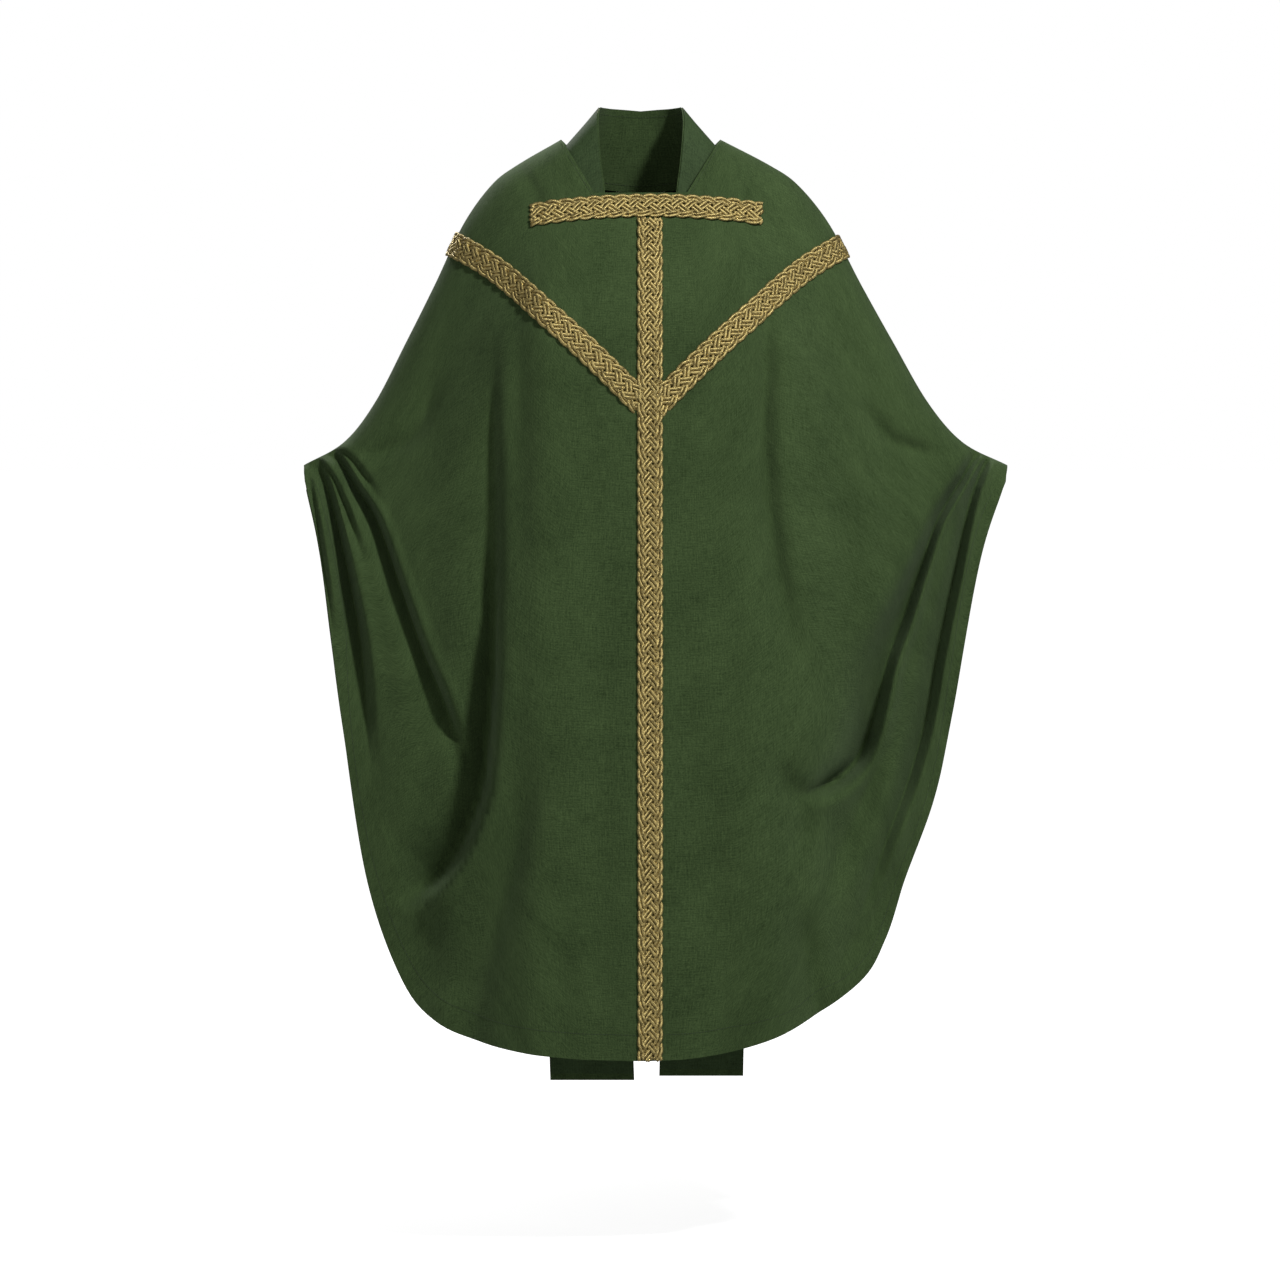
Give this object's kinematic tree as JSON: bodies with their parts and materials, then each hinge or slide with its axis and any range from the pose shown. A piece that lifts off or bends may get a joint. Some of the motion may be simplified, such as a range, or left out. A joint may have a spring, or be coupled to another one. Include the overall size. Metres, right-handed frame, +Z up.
{
  "type": "chasuble with stole",
  "caption": "Full Gothic chasuble hanging from the shoulders over its matching stole, with a braided galloon column, neck bar and forked arms.",
  "frame": {"origin": "where the garments rest on the wearer: on the centre line, level with the top of the shoulders, half way between front and back", "axes": "+Z up, -Y out of the front of the garment, +X towards the wearer's left hand"},
  "size_m": [0.996, 0.412, 1.3687],
  "materials": {
    "wool_cloth": "matte fine wool weave",
    "cloth_facing": "matte wool facing, turned and stitched",
    "gold_galloon": "flat braid of metallic gold cord",
    "stole_lining": "smooth satin lining",
    "canvas_interlining": "plain canvas",
    "woven_label": "blank woven label"
  },
  "bodies": {
    "stole": {"stole_neck_left_face": "wool_cloth", "stole_neck_left_interlining": "canvas_interlining", "stole_neck_left_lining": "stole_lining", "stole_neck_right_face": "wool_cloth", "stole_neck_right_interlining": "canvas_interlining", "stole_neck_right_lining": "stole_lining"},
    "stole_end_left": {"stole_end_left_face": "wool_cloth", "stole_end_left_interlining": "canvas_interlining", "stole_end_left_lining": "stole_lining"},
    "stole_end_right": {"stole_end_right_face": "wool_cloth", "stole_end_right_interlining": "canvas_interlining", "stole_end_right_lining": "stole_lining"},
    "chasuble": {"front_panel": "wool_cloth", "back_panel": "wool_cloth", "front_neck_facing": "cloth_facing", "back_neck_facing": "cloth_facing", "front_hem_facing": "cloth_facing", "back_hem_facing": "cloth_facing", "left_shoulder_tape": "cloth_facing", "right_shoulder_tape": "cloth_facing", "front_neck_braid": "gold_galloon", "front_column_braid": "gold_galloon", "left_arm_braid": "gold_galloon", "right_arm_braid": "gold_galloon", "back_column_braid": "gold_galloon", "neck_label": "woven_label"}
  },
  "joints": [
    {"name": "chasuble_lift", "type": "slide", "parent": "stole", "child": "chasuble", "axis": [0, 0, 1], "range_m": [0, 1.4]},
    {"name": "stole_left_swing", "type": "hinge", "parent": "stole", "child": "stole_end_left", "pos_m": [-0.119, -0.11, -0.262], "axis": [1, 0, 0], "range_deg": [-2, 8]},
    {"name": "stole_right_swing", "type": "hinge", "parent": "stole", "child": "stole_end_right", "pos_m": [0.093, -0.11, -0.262], "axis": [1, 0, 0], "range_deg": [-2, 8]}
  ]
}
